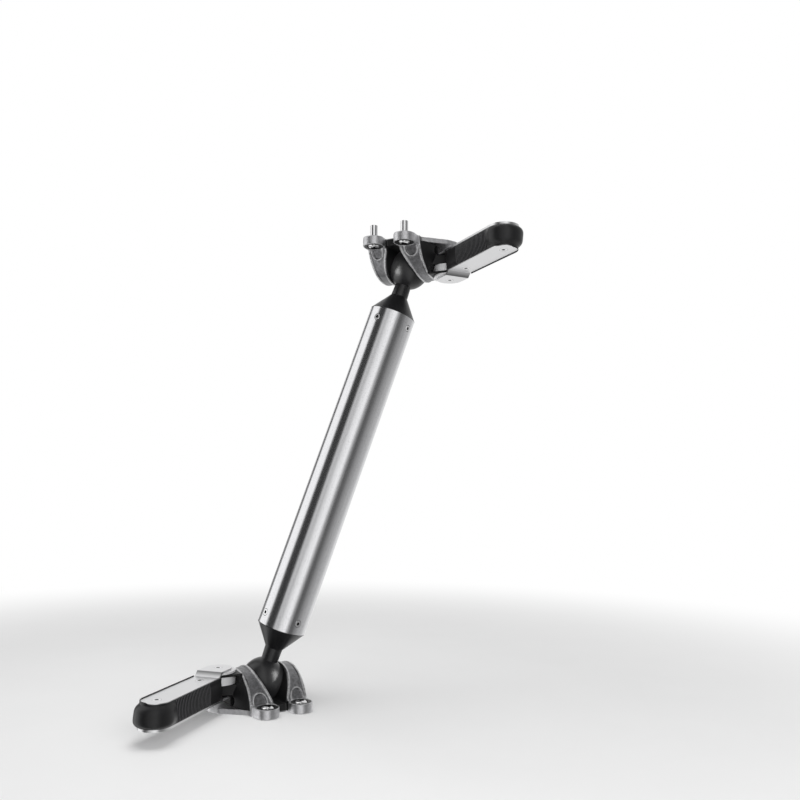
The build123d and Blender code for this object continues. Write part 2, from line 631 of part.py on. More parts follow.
MOUNT_PIECES = {
    "base_casting": base_casting,
    "lever_housing": lever_housing,
    "housing_bolts": housing_bolts,
    "left_seat_pad": left_seat_pad,
    "right_seat_pad": right_seat_pad,
    "thrust_plunger": thrust_plunger,
    "backing_disc": backing_disc,
    "adjuster_screw": adjuster_screw,
    "deck_screws": deck_screws,
    "deck_washers": deck_washers,
    "lever_upper_plate": upper_plate,
    "lever_lower_plate": lower_plate,
    "lever_grip": grip,
    "lever_cam_core": cam_core,
    "lever_hub_disc": hub_disc,
    "lever_pivot_pin": pivot_pin,
    "lever_pivot_screws": pivot_screws,
    "lever_grip_spacers": grip_spacers,
    "lever_grip_screws": grip_screws,
    "ball": ball,
    "ball_stem": ball_stem,
    "tube_screws": tube_screws,
}


def main():
    os.makedirs("parts", exist_ok=True)
    for name, make in MOUNT_PIECES.items():
        piece = make()
        export_step(piece, f"parts/lower_{name}.step")
        export_step(half_turned(piece), f"parts/upper_{name}.step")
    export_step(tube(), "parts/arm_tube.step")


main()
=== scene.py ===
"""Double-ball support arm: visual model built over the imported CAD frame."""

import json
import math

import bmesh
import bpy
from bpy.props import FloatProperty, FloatVectorProperty, IntProperty, PointerProperty
from mathutils import Matrix, Vector


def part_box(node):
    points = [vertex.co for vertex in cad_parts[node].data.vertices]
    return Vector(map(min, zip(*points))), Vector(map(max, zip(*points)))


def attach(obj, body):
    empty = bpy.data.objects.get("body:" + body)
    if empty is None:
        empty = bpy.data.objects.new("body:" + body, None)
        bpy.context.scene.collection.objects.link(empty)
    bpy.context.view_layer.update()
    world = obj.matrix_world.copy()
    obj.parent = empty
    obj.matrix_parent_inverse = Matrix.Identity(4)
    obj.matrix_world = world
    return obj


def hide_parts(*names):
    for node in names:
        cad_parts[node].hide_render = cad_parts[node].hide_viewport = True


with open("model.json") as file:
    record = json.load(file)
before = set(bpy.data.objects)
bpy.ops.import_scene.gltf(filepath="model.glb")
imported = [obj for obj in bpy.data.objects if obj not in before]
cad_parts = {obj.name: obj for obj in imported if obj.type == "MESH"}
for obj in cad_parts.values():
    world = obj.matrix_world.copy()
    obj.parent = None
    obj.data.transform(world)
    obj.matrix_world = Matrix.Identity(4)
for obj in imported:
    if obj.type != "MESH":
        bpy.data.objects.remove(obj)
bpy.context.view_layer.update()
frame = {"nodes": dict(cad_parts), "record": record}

bl_info = {
    "name": "Double-ball support arm",
    "version": (1, 0, 0),
    "blender": (4, 5, 0),
    "location": "3D View > Sidebar > Support arm",
    "description": "Finishes and detailed pieces for a tube arm held in two lever-clamped saddle mounts",
    "category": "Object",
}

MM = 0.001
MOUNTS = ("lower", "upper")


# ---- places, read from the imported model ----
def joint(name):
    """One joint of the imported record, by name."""
    return next(j for j in frame["record"]["behaviour"]["joints"] if j["name"] == name)


LOW_BALL = Vector(joint("lower_spin")["pos_m"])
HIGH_BALL = Vector(joint("upper_spin")["pos_m"])
ARM_AXIS = (HIGH_BALL - LOW_BALL).normalized()
ARM_CENTRE = (LOW_BALL + HIGH_BALL) / 2
TURN_AXIS = Vector((0, 0, 1)).cross(ARM_AXIS).normalized()
HALF_TURN = (Matrix.Translation(ARM_CENTRE) @ Matrix.Rotation(math.pi, 4, TURN_AXIS)
             @ Matrix.Translation(-ARM_CENTRE))
PIVOT = Vector(joint("lower_lever_turn")["pos_m"])
LEVER_ANGLE = math.radians(218.9)
LEVER = Matrix.Translation((PIVOT.x, PIVOT.y, 0)) @ Matrix.Rotation(LEVER_ANGLE, 4, "Z")


# Sizes along a lever, from its pivot
BEND = (16.2 * MM, 20.6 * MM)     # the joggle between the tab and the flat of the upper plate
RIB_START = 41.0 * MM
SCREW_IN = 34.5 * MM
SCREW_OUT = 105.0 * MM


def mount_place(mount):
    """Where a mount stands, as a matrix from the lower one."""
    return HALF_TURN if mount == "upper" else Matrix.Identity(4)


def span(node, axis):
    """Lowest and highest coordinate of a CAD node along one axis."""
    low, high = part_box(node)
    return low[axis], high[axis]


# ---- colours ----
def linear(code):
    """An sRGB hex colour as a linear RGBA value."""
    parts = [int(code[i:i + 2], 16) / 255 for i in (0, 2, 4)]
    return [c / 12.92 if c <= 0.04045 else ((c + 0.055) / 1.055) ** 2.4 for c in parts] + [1.0]


def tint(name, description, code):
    """A colour setting, with its hex code as the default."""
    return FloatVectorProperty(name=name, description=description, subtype="COLOR", size=4,
                               default=linear(code))


# ---- settings that a user would change ----
class ArmGripSettings(bpy.types.PropertyGroup):
    rib_pitch: FloatProperty(name="Rib pitch", description="Distance between the grip's ribs",
                             default=2.4 * MM, unit="LENGTH")
    rib_radius: FloatProperty(name="Rib radius", description="Radius of each moulded rib",
                              default=0.9 * MM, unit="LENGTH")
    rib_count: IntProperty(name="Rib count", description="Ribs along each side of a grip", default=24)
    side_bulge: FloatProperty(name="Side bulge", description="How far the grip's sides swell past the plates",
                              default=2.2 * MM, unit="LENGTH")
    end_bulge: FloatProperty(name="End bulge", description="How far the barrel end swells past the plates",
                             default=5.4 * MM, unit="LENGTH")
    rubber: tint("Rubber", "Colour of the moulded rubber", "19191A")


class ArmMetalSettings(bpy.types.PropertyGroup):
    casting: tint("Casting", "Colour of the blasted saddle castings", "8E8E90")
    tumbled: tint("Foot", "Colour of the tumbled lugs and flange", "DADADC")
    coating: tint("Coating", "Colour of the black coated faces and housings", "111112")
    plate: tint("Lever plates", "Colour of the brushed lever plates", "E8E8E9")
    tube: tint("Tube", "Colour of the satin tube", "E4E4E6")
    bright: tint("Bright steel", "Colour of the polished screws, cams and pins", "EDEDEE")
    anodised: tint("Anodising", "Colour of the black balls and stems", "141415")


class ArmStageSettings(bpy.types.PropertyGroup):
    floor: tint("Floor", "Colour of the pale deck", "EDEDED")
    key_power: FloatProperty(name="Key light", description="Power of the overhead softbox", default=11.0,
                             unit="POWER")
    fill_power: FloatProperty(name="Fill light", description="Power of the lamp beside the camera",
                              default=7.0, unit="POWER")
    ambient: FloatProperty(name="Room light", description="Strength of the even light of the room",
                           default=0.36)


# ---- material helpers ----
def add(tree, kind, inputs=None, **settings):
    """Add one node with its settings, and set its inputs or link them. A node given as an input stands for
    its first active output."""
    node = tree.nodes.new(kind)
    for name, value in settings.items():
        setattr(node, name, value)
    for key, value in (inputs or {}).items():
        if isinstance(value, bpy.types.Node):
            value = next(output for output in value.outputs if output.enabled)
        if isinstance(value, bpy.types.NodeSocket):
            tree.links.new(value, node.inputs[key])
        else:
            node.inputs[key].default_value = value
    return node


def new_material(name):
    """An empty node material with its tree."""
    material = bpy.data.materials.new(name)
    material.use_nodes = True
    material.node_tree.nodes.clear()
    return material, material.node_tree


def shade(colour, amount):
    """The same colour made lighter or darker."""
    return [min(1.0, c * amount) for c in colour[:3]] + [1.0]


def mount_point(tree, mount):
    """Object coordinates, turned back to the lower mount's place for the upper one's pieces."""
    point = add(tree, "ShaderNodeTexCoord").outputs["Object"]
    back = mount_place(mount).inverted()
    return add(tree, "ShaderNodeMapping", {
        "Vector": point, "Location": back.to_translation(), "Rotation": back.to_euler()})


def lever_point(tree, mount):
    """Coordinates along, across and up a lever, from its pivot."""
    centred = add(tree, "ShaderNodeMapping", {"Vector": mount_point(tree, mount),
                                              "Location": (-PIVOT.x, -PIVOT.y, 0)})
    return add(tree, "ShaderNodeMapping", {"Vector": centred, "Rotation": (0, 0, -LEVER_ANGLE)})


def surfaced(material, tree, inputs):
    """Close a material with its shader and output."""
    shader = add(tree, "ShaderNodeBsdfPrincipled", inputs)
    add(tree, "ShaderNodeOutputMaterial", {"Surface": shader})
    return material


def even_finish(name, grain, clouds, tones, roughness, relief, surface):
    """A material for an even surface: slow clouds between two tones, and a fine grain in its roughness and in
    its relief, given as a depth in mm and a strength. Without clouds the grain sets the tone too."""
    material, tree = new_material(name)
    point = add(tree, "ShaderNodeTexCoord").outputs["Object"]
    fine = add(tree, "ShaderNodeTexNoise", {"Vector": point, "Scale": grain})
    slow = add(tree, "ShaderNodeTexNoise", {"Vector": point, **clouds}) if clouds else fine
    colour = add(tree, "ShaderNodeMix", {0: slow, 6: tones[0], 7: tones[1]}, data_type="RGBA")
    rough = add(tree, "ShaderNodeMapRange", {"Value": fine, "To Min": roughness[0], "To Max": roughness[1]})
    bump = {}
    if relief:
        bump["Normal"] = add(tree, "ShaderNodeBump", {
            "Height": fine, "Distance": relief[0] * MM, "Strength": relief[1]})
    return surfaced(material, tree, {"Base Color": colour, "Roughness": rough, **bump, **surface})


# ---- materials ----
SADDLE_CENTRE = -5.3 * MM      # height of the saddle barrel's level axis
SADDLE_R = 42.0 * MM           # of the barrel at the saddle's sides
SADDLE_CROWN = 2.8 * MM        # how much more it is half way between them
SADDLE_HALF = 31.0 * MM        # half width of the saddle

# Masks over the saddle: what is measured, where the mask starts and where it is full, in mm
SADDLE_MASKS = {
    "deep": ("depth", 1.65, 2.15), "skin": ("depth", -1.8, -1.4), "rim": ("depth", 0.6, 0.1),
    "raised": ("depth", 0.6, -0.2), "proud": ("x", 31.1, 31.3), "between ends": ("x", 30.75, 30.45),
    "gap": ("x", 8.5, 7.5), "under": ("y", 47.5, 46.5), "low": ("z", 10.4, 9.6), "above": ("z", 0.7, 1.3),
    "arch": ("z", 8.5, 11.5)}


def casting_masks(tree, point):
    """The saddle's masks, from each point's depth under the outer barrel, its |X|, its |Y| and its Z."""
    xyz = add(tree, "ShaderNodeSeparateXYZ", {"Vector": point})
    x = add(tree, "ShaderNodeMath", {0: xyz.outputs["X"]}, operation="ABSOLUTE")
    y = add(tree, "ShaderNodeMath", {0: xyz.outputs["Y"]}, operation="ABSOLUTE")
    upright = add(tree, "ShaderNodeVectorMath", {0: point, 1: (0, 1, 1), 2: (0, 0, -SADDLE_CENTRE)},
                  operation="MULTIPLY_ADD")
    radius = add(tree, "ShaderNodeVectorMath", {0: upright}, operation="LENGTH")
    squared = add(tree, "ShaderNodeMath", {0: x, 1: x}, operation="MULTIPLY")
    barrel = add(tree, "ShaderNodeMath", {
        0: squared, 1: -SADDLE_CROWN / SADDLE_HALF ** 2, 2: SADDLE_R + SADDLE_CROWN},
        operation="MULTIPLY_ADD")
    depth = add(tree, "ShaderNodeMath", {0: barrel, 1: radius}, operation="SUBTRACT")
    measures = {"depth": depth, "x": x, "y": y, "z": xyz.outputs["Z"]}
    return {name: add(tree, "ShaderNodeMapRange", {
        "Value": measures[measure], "From Min": start * MM, "From Max": full * MM},
        interpolation_type="SMOOTHSTEP") for name, (measure, start, full) in SADDLE_MASKS.items()}


def masked(tree, masks, names):
    """The mask of where all the named masks hold."""
    result = masks[names[0]]
    for name in names[1:]:
        result = add(tree, "ShaderNodeMath", {0: result, 1: masks[name]}, operation="MULTIPLY")
    return result


def blasted_casting(mount):
    """Cast stainless steel, bead blasted: a matt grey skin with fine peening, black inside the saddle, paler
    where the foot was tumbled, and bright in patches on rims and edges, partly rubbed wear and partly a
    painted highlight."""
    settings = bpy.context.scene.arm_metal
    material, tree = new_material(f"bead blasted cast steel {mount}")
    point = mount_point(tree, mount)
    masks = casting_masks(tree, point)
    hollow = masked(tree, masks, ("deep", "above", "between ends"))
    black = add(tree, "ShaderNodeMath", {0: hollow, 1: masked(tree, masks, ("gap", "under", "above"))},
                operation="MAXIMUM")
    outer = add(tree, "ShaderNodeMath", {0: masks["raised"], 1: masks["proud"]}, operation="MAXIMUM")
    foot = add(tree, "ShaderNodeMath", {0: masks["low"], 1: outer}, operation="MULTIPLY")
    peening = add(tree, "ShaderNodeTexNoise", {"Vector": point, "Scale": 900.0, "Detail": 3.0})
    clouds = add(tree, "ShaderNodeTexNoise", {
        "Vector": point, "Scale": 330.0, "Detail": 4.0, "Roughness": 0.7})
    mottle = add(tree, "ShaderNodeMapRange", {"Value": clouds, "From Min": 0.30, "From Max": 0.70})
    # rims and edges painted pale in patches: partly rubbed wear, partly a painted highlight where edges catch
    # the light
    rim_patches = add(tree, "ShaderNodeMapRange", {
        "Value": clouds, "From Min": 0.3, "From Max": 0.5, "To Max": 0.75})
    rim_wear_and_highlight = add(tree, "ShaderNodeMath", {0: masked(tree, masks, ("rim", "skin", "arch")), 1: rim_patches},
               operation="MULTIPLY")
    bare = add(tree, "ShaderNodeMix", {
        0: mottle, 6: shade(settings.tumbled, 0.72), 7: list(settings.tumbled)}, data_type="RGBA")
    skin = add(tree, "ShaderNodeMix", {
        0: mottle, 6: shade(settings.casting, 0.52), 7: shade(settings.casting, 1.1)}, data_type="RGBA")
    for mask, colour in ((foot, bare), (rim_wear_and_highlight, linear("DCDCDD")), (black, list(settings.coating))):
        skin = add(tree, "ShaderNodeMix", {0: mask, 6: skin, 7: colour}, data_type="RGBA")
    metal = add(tree, "ShaderNodeMapRange", {"Value": black, "To Min": 1.0, "To Max": 0.0})
    rough = add(tree, "ShaderNodeMapRange", {"Value": peening, "To Min": 0.34, "To Max": 0.50})
    relief = add(tree, "ShaderNodeBump", {"Height": peening, "Distance": 0.12 * MM, "Strength": 0.7})
    return surfaced(material, tree, {
        "Base Color": skin, "Metallic": metal, "Roughness": rough, "Normal": relief})


def black_coating():
    """Matt black powder coat on steel: almost even, with a faint orange-peel relief."""
    coating = bpy.context.scene.arm_metal.coating
    return even_finish("black powder coat", grain=700.0, clouds={"Scale": 60.0, "Detail": 3.0},
                       tones=(shade(coating, 0.7), shade(coating, 1.5)), roughness=(0.42, 0.58),
                       relief=(0.05, 0.6), surface={"Specular IOR Level": 0.3})


def brushed_sheet(mount):
    """Brushed stainless sheet: fine lines along the lever that soften every reflection, and painted shade on
    the joggled bend, standing in for the dark room it mirrors."""
    settings = bpy.context.scene.arm_metal
    material, tree = new_material(f"brushed stainless sheet {mount}")
    point = lever_point(tree, mount)
    stretched = add(tree, "ShaderNodeMapping", {"Vector": point, "Scale": (30, 2200, 2200)})
    lines = add(tree, "ShaderNodeTexNoise", {"Vector": stretched, "Scale": 1.0})
    clouds = add(tree, "ShaderNodeTexNoise", {"Vector": point, "Scale": 90.0})
    along = add(tree, "ShaderNodeSeparateXYZ", {"Vector": point}).outputs["X"]
    ends = ((BEND[0] - 0.6 * MM, BEND[0] + 0.2 * MM), (BEND[1] + 0.6 * MM, BEND[1] - 4 * MM))
    bend = [add(tree, "ShaderNodeMapRange", {"Value": along, "From Min": start, "From Max": full},
                interpolation_type="SMOOTHSTEP") for start, full in ends]
    joggle_shade = add(tree, "ShaderNodeMath", {0: bend[0], 1: bend[1]}, operation="MULTIPLY")
    colour = add(tree, "ShaderNodeMix", {0: lines, 6: shade(settings.plate, 0.88), 7: list(settings.plate)},
                 data_type="RGBA")
    thin = add(tree, "ShaderNodeMath", {0: clouds, 1: 0.3}, operation="MULTIPLY")
    colour = add(tree, "ShaderNodeMix", {0: thin, 6: colour, 7: shade(settings.plate, 0.8)}, data_type="RGBA")
    # painted reflection: the bend is darkened for the dark wall panels it faces
    colour = add(tree, "ShaderNodeMix", {0: joggle_shade, 6: colour, 7: shade(settings.plate, 0.28)},
                 data_type="RGBA")
    rough = add(tree, "ShaderNodeMapRange", {"Value": lines, "To Min": 0.24, "To Max": 0.40})
    relief = add(tree, "ShaderNodeBump", {"Height": lines, "Distance": 0.02 * MM, "Strength": 0.5})
    return surfaced(material, tree, {
        "Base Color": colour, "Metallic": 1.0, "Roughness": rough, "Normal": relief})


def satin_tube():
    """Drawn stainless tube with a satin polish: long clear reflections, a faint grain along the tube and fine
    specks."""
    settings = bpy.context.scene.arm_metal
    material, tree = new_material("satin polished stainless tube")
    lean = ARM_AXIS.to_track_quat("Z", "Y").inverted().to_euler()
    point = add(tree, "ShaderNodeTexCoord").outputs["Object"]
    along = add(tree, "ShaderNodeMapping", {"Vector": point, "Rotation": lean})
    along = add(tree, "ShaderNodeMapping", {"Vector": along, "Scale": (1500, 1500, 25)})
    lines = add(tree, "ShaderNodeTexNoise", {"Vector": along, "Scale": 1.0})
    grit = add(tree, "ShaderNodeTexNoise", {"Vector": point, "Scale": 800.0})
    specks = add(tree, "ShaderNodeMapRange", {
        "Value": grit, "From Min": 0.52, "From Max": 0.70, "To Max": 0.45})
    colour = add(tree, "ShaderNodeMix", {0: lines, 6: shade(settings.tube, 0.80), 7: list(settings.tube)},
                 data_type="RGBA")
    colour = add(tree, "ShaderNodeMix", {0: specks, 6: colour, 7: shade(settings.tube, 0.6)},
                 data_type="RGBA")
    rough = add(tree, "ShaderNodeMapRange", {"Value": lines, "To Min": 0.14, "To Max": 0.22})
    relief = add(tree, "ShaderNodeBump", {"Height": lines, "Distance": 0.008 * MM, "Strength": 0.5})
    return surfaced(material, tree, {
        "Base Color": colour, "Metallic": 1.0, "Roughness": rough, "Normal": relief})


def polished_steel():
    """Polished stainless steel: bright, with hair-fine wipe marks."""
    bright = bpy.context.scene.arm_metal.bright
    return even_finish("polished stainless steel", grain=1300.0, clouds={"Scale": 150.0},
                       tones=(shade(bright, 0.82), list(bright)), roughness=(0.12, 0.24),
                       relief=(0.004, 0.4), surface={"Metallic": 1.0})


def turned_steel():
    """Turned stainless steel, left with its tool marks: a frosty white that spreads every light."""
    settings = bpy.context.scene.arm_metal
    material, tree = new_material("turned stainless steel")
    point = add(tree, "ShaderNodeTexCoord").outputs["Object"]
    rings = add(tree, "ShaderNodeTexWave", {"Vector": point, "Scale": 400.0, "Distortion": 1.5},
                wave_type="BANDS", bands_direction="Z")
    colour = add(tree, "ShaderNodeMix", {
        0: rings, 6: shade(settings.bright, 0.92), 7: shade(settings.bright, 1.1)}, data_type="RGBA")
    rough = add(tree, "ShaderNodeMapRange", {"Value": rings, "To Min": 0.55, "To Max": 0.68})
    relief = add(tree, "ShaderNodeBump", {"Height": rings, "Distance": 0.01 * MM, "Strength": 0.4})
    return surfaced(material, tree, {
        "Base Color": colour, "Metallic": 0.65, "Roughness": rough, "Normal": relief})


def socket_shadow():
    """The walls of a hexagon socket, painted near black: painted shade in the recess."""
    return even_finish("painted socket shade", grain=1500.0, clouds=None,
                       tones=(linear("0C0C0D"), linear("232324")), roughness=(0.5, 0.7), relief=None,
                       surface={"Specular IOR Level": 0.2})


def black_anodising():
    """Black hard-anodised aluminium: a deep satin black with a soft highlight and fine turning marks."""
    anodised = bpy.context.scene.arm_metal.anodised
    return even_finish("black hard anodising", grain=1100.0, clouds={"Scale": 80.0},
                       tones=(shade(anodised, 0.8), shade(anodised, 1.5)), roughness=(0.28, 0.40),
                       relief=(0.02, 0.5), surface={})


def moulded_acetal():
    """Moulded acetal: an even, slightly waxy black."""
    return even_finish("moulded acetal", grain=600.0, clouds=None,
                       tones=(linear("101011"), linear("1C1C1D")), roughness=(0.4, 0.55),
                       relief=(0.02, 0.4), surface={})


def grip_rubber(mount):
    """Moulded rubber: charcoal black, with a painted highlight on the crests of the ribs and painted shade
    between them, dull, with a fine spark-eroded mould texture."""
    settings = bpy.context.scene.arm_grip
    material, tree = new_material(f"moulded grip rubber {mount}")
    point = lever_point(tree, mount)
    texture = add(tree, "ShaderNodeTexNoise", {"Vector": point, "Scale": 1400.0})
    clouds = add(tree, "ShaderNodeTexNoise", {"Vector": point, "Scale": 120.0, "Detail": 3.0})
    xyz = add(tree, "ShaderNodeSeparateXYZ", {"Vector": point})
    along = add(tree, "ShaderNodeMath", {0: xyz.outputs["X"], 1: -RIB_START}, operation="ADD")
    turns = add(tree, "ShaderNodeMath", {0: along, 1: 2 * math.pi / settings.rib_pitch}, operation="MULTIPLY")
    wave = add(tree, "ShaderNodeMath", {0: turns}, operation="COSINE")
    # painted shade: the grooves between the ribs are darkened
    groove_shade = add(tree, "ShaderNodeMapRange", {"Value": wave, "From Min": 0.3, "From Max": -0.9},
                 interpolation_type="SMOOTHSTEP")
    row = settings.rib_pitch * settings.rib_count
    before = 1.2 * MM      # the ribbed stretch starts half a pitch ahead of the first rib
    first = add(tree, "ShaderNodeMath", {0: along, 1: -before}, operation="GREATER_THAN")
    last = add(tree, "ShaderNodeMath", {0: along, 1: row - before}, operation="LESS_THAN")
    ribbed = add(tree, "ShaderNodeMath", {0: first, 1: last}, operation="MULTIPLY")
    groove_shade = add(tree, "ShaderNodeMath", {0: groove_shade, 1: ribbed}, operation="MULTIPLY")
    colour = add(tree, "ShaderNodeMix", {
        0: clouds, 6: shade(settings.rubber, 0.75), 7: shade(settings.rubber, 1.35)}, data_type="RGBA")
    # painted highlight: the ribs' crests are painted paler
    crest_highlight = add(tree, "ShaderNodeMapRange", {"Value": wave, "From Min": 0.0, "From Max": 1.0, "To Max": 0.8},
                interpolation_type="SMOOTHSTEP")
    crest_highlight = add(tree, "ShaderNodeMath", {0: crest_highlight, 1: ribbed}, operation="MULTIPLY")
    colour = add(tree, "ShaderNodeMix", {0: crest_highlight, 6: colour, 7: linear("565658")}, data_type="RGBA")
    colour = add(tree, "ShaderNodeMix", {0: groove_shade, 6: colour, 7: shade(settings.rubber, 0.12)},
                 data_type="RGBA")
    # the grooves' specular is turned down along with their painted shade
    sheen = add(tree, "ShaderNodeMapRange", {"Value": groove_shade, "To Min": 0.32, "To Max": 0.02})
    rough = add(tree, "ShaderNodeMapRange", {"Value": texture, "To Min": 0.30, "To Max": 0.42})
    relief = add(tree, "ShaderNodeBump", {"Height": texture, "Distance": 0.05 * MM, "Strength": 0.6})
    return surfaced(material, tree, {
        "Base Color": colour, "Roughness": rough, "Specular IOR Level": sheen, "Normal": relief})


def new_object(name, data):
    """An object in the scene."""
    thing = bpy.data.objects.new(name, data)
    bpy.context.scene.collection.objects.link(thing)
    return thing


def built(source):
    """The mesh that an object's modifiers make of it. The object itself is taken away."""
    name = source.name
    graph = bpy.context.evaluated_depsgraph_get()
    graph.update()
    result = bpy.data.meshes.new_from_object(source.evaluated_get(graph))
    bpy.data.objects.remove(source)
    if not result.polygons:
        raise RuntimeError(name + " came out empty")
    return result


def set_material(piece, material):
    """Put one material on a whole object."""
    piece.data.materials.clear()
    piece.data.materials.append(material)


# ---- Geometry Nodes ----
CREASE = math.radians(40)            # edges sharper than this stay sharp on the grips
SCREW_CREASE = math.radians(38)      # and on the screws


def node_group(name, sizes, whole_numbers=(), materials=()):
    """A geometry tree with named inputs: lengths, counts and materials."""
    tree = bpy.data.node_groups.new(name, "GeometryNodeTree")
    tree.interface.new_socket("Geometry", in_out="INPUT", socket_type="NodeSocketGeometry")
    for size in sizes:
        tree.interface.new_socket(size, in_out="INPUT", socket_type="NodeSocketFloat")
    for count in whole_numbers:
        tree.interface.new_socket(count, in_out="INPUT", socket_type="NodeSocketInt")
    for material in materials:
        tree.interface.new_socket(material, in_out="INPUT", socket_type="NodeSocketMaterial")
    tree.interface.new_socket("Geometry", in_out="OUTPUT", socket_type="NodeSocketGeometry")
    return tree, add(tree, "NodeGroupInput")


def run_group(piece_name, tree, values, spots, aims=None):
    """Run a tree on a set of points, and keep the result as one plain mesh."""
    mesh = bpy.data.meshes.new(piece_name + " spots")
    mesh.from_pydata(spots, [], [])
    if aims:
        attribute = mesh.attributes.new("aim", "FLOAT_VECTOR", "POINT")
        for i, aim in enumerate(aims):
            attribute.data[i].vector = aim
    source = new_object(piece_name + " spots", mesh)
    modifier = source.modifiers.new("build", "NODES")
    modifier.node_group = tree
    keys = {item.name: item.identifier for item in tree.interface.items_tree
            if item.item_type == "SOCKET" and item.in_out == "INPUT"}
    for name, value in values.items():
        modifier[keys[name]] = value
    result = built(source)
    result.set_sharp_from_angle(angle=SCREW_CREASE)
    return new_object(piece_name, result)


def socket_screw_tree():
    """A screw with a domed or flat head and a hexagon socket painted dark as its shade, set on points along
    their aim.
    """
    tree, given = node_group("socket screw", (
        "Head Radius", "Head Height", "Dome Fullness", "Socket Radius", "Socket Depth", "Shank Radius",
        "Shank Length"), materials=("Material", "Socket Shade Material"))
    size = given.outputs
    ball = add(tree, "GeometryNodeMeshUVSphere", {"Segments": 48, "Rings": 24, "Radius": 1.0})
    xyz = add(tree, "ShaderNodeSeparateXYZ", {"Vector": add(tree, "GeometryNodeInputPosition")})
    full = add(tree, "ShaderNodeMath", {0: xyz.outputs["Z"], 1: size["Dome Fullness"]}, operation="MULTIPLY",
               use_clamp=True)
    height = add(tree, "ShaderNodeMath", {0: full, 1: size["Head Height"]}, operation="MULTIPLY")
    across = [add(tree, "ShaderNodeMath", {0: xyz.outputs[axis], 1: size["Head Radius"]},
                  operation="MULTIPLY") for axis in "XY"]
    moved = add(tree, "ShaderNodeCombineXYZ", {"X": across[0], "Y": across[1], "Z": height})
    head = add(tree, "GeometryNodeSetPosition", {"Geometry": ball.outputs["Mesh"], "Position": moved})
    head = add(tree, "GeometryNodeMergeByDistance", {"Geometry": head, "Distance": 1e-6})
    deep = add(tree, "ShaderNodeMath", {0: size["Socket Depth"], 1: 2.0}, operation="MULTIPLY")
    hexagon = add(tree, "GeometryNodeMeshCylinder", {
        "Vertices": 6, "Radius": size["Socket Radius"], "Depth": deep})
    lift = add(tree, "ShaderNodeCombineXYZ", {"Z": size["Head Height"]})
    hexagon = add(tree, "GeometryNodeTransform", {"Geometry": hexagon.outputs["Mesh"], "Translation": lift})
    cut = add(tree, "GeometryNodeMeshBoolean", {"Mesh 1": head, "Mesh 2": hexagon}, operation="DIFFERENCE",
              solver="EXACT")
    flat = add(tree, "ShaderNodeVectorMath", {0: add(tree, "GeometryNodeInputPosition"), 1: (1, 1, 0)},
               operation="MULTIPLY")
    reach = add(tree, "ShaderNodeVectorMath", {0: flat}, operation="LENGTH")
    near = add(tree, "ShaderNodeMath", {0: reach, 1: size["Socket Radius"]}, operation="LESS_THAN")
    brim = add(tree, "ShaderNodeMath", {0: size["Head Height"], 1: 0.9}, operation="MULTIPLY")
    under = add(tree, "ShaderNodeMath", {0: xyz.outputs["Z"], 1: brim}, operation="LESS_THAN")
    inside = add(tree, "ShaderNodeMath", {0: near, 1: under}, operation="MULTIPLY")
    cut = add(tree, "GeometryNodeStoreNamedAttribute", {"Geometry": cut.outputs["Mesh"], "Name": "socket",
                                                        "Value": inside}, data_type="FLOAT", domain="FACE")
    shank = add(tree, "GeometryNodeMeshCylinder", {
        "Vertices": 24, "Radius": size["Shank Radius"], "Depth": size["Shank Length"]})
    half = add(tree, "ShaderNodeMath", {0: size["Shank Length"], 1: -0.5}, operation="MULTIPLY")
    drop = add(tree, "ShaderNodeCombineXYZ", {"Z": half})
    shank = add(tree, "GeometryNodeTransform", {"Geometry": shank.outputs["Mesh"], "Translation": drop})
    screw = add(tree, "GeometryNodeJoinGeometry")
    for part in (cut, shank):
        tree.links.new(part.outputs["Geometry"], screw.inputs["Geometry"])
    aim = add(tree, "GeometryNodeInputNamedAttribute", {"Name": "aim"}, data_type="FLOAT_VECTOR")
    turn = add(tree, "FunctionNodeAlignRotationToVector", {"Vector": aim.outputs["Attribute"]}, axis="Z")
    placed = add(tree, "GeometryNodeInstanceOnPoints", {"Points": size["Geometry"], "Instance": screw,
                                                        "Rotation": turn})
    real = add(tree, "GeometryNodeRealizeInstances", {"Geometry": placed})
    steel = add(tree, "GeometryNodeSetMaterial", {"Geometry": real, "Material": size["Material"]})
    # the socket's inner faces get the near-black material: painted shade inside the hexagon recess
    socket = add(tree, "GeometryNodeInputNamedAttribute", {"Name": "socket"}, data_type="FLOAT")
    marked = add(tree, "ShaderNodeMath", {0: socket.outputs["Attribute"], 1: 0.5}, operation="GREATER_THAN")
    dark = add(tree, "GeometryNodeSetMaterial", {"Geometry": steel, "Selection": marked,
                                                 "Material": size["Socket Shade Material"]})
    add(tree, "NodeGroupOutput", {"Geometry": dark})
    return tree


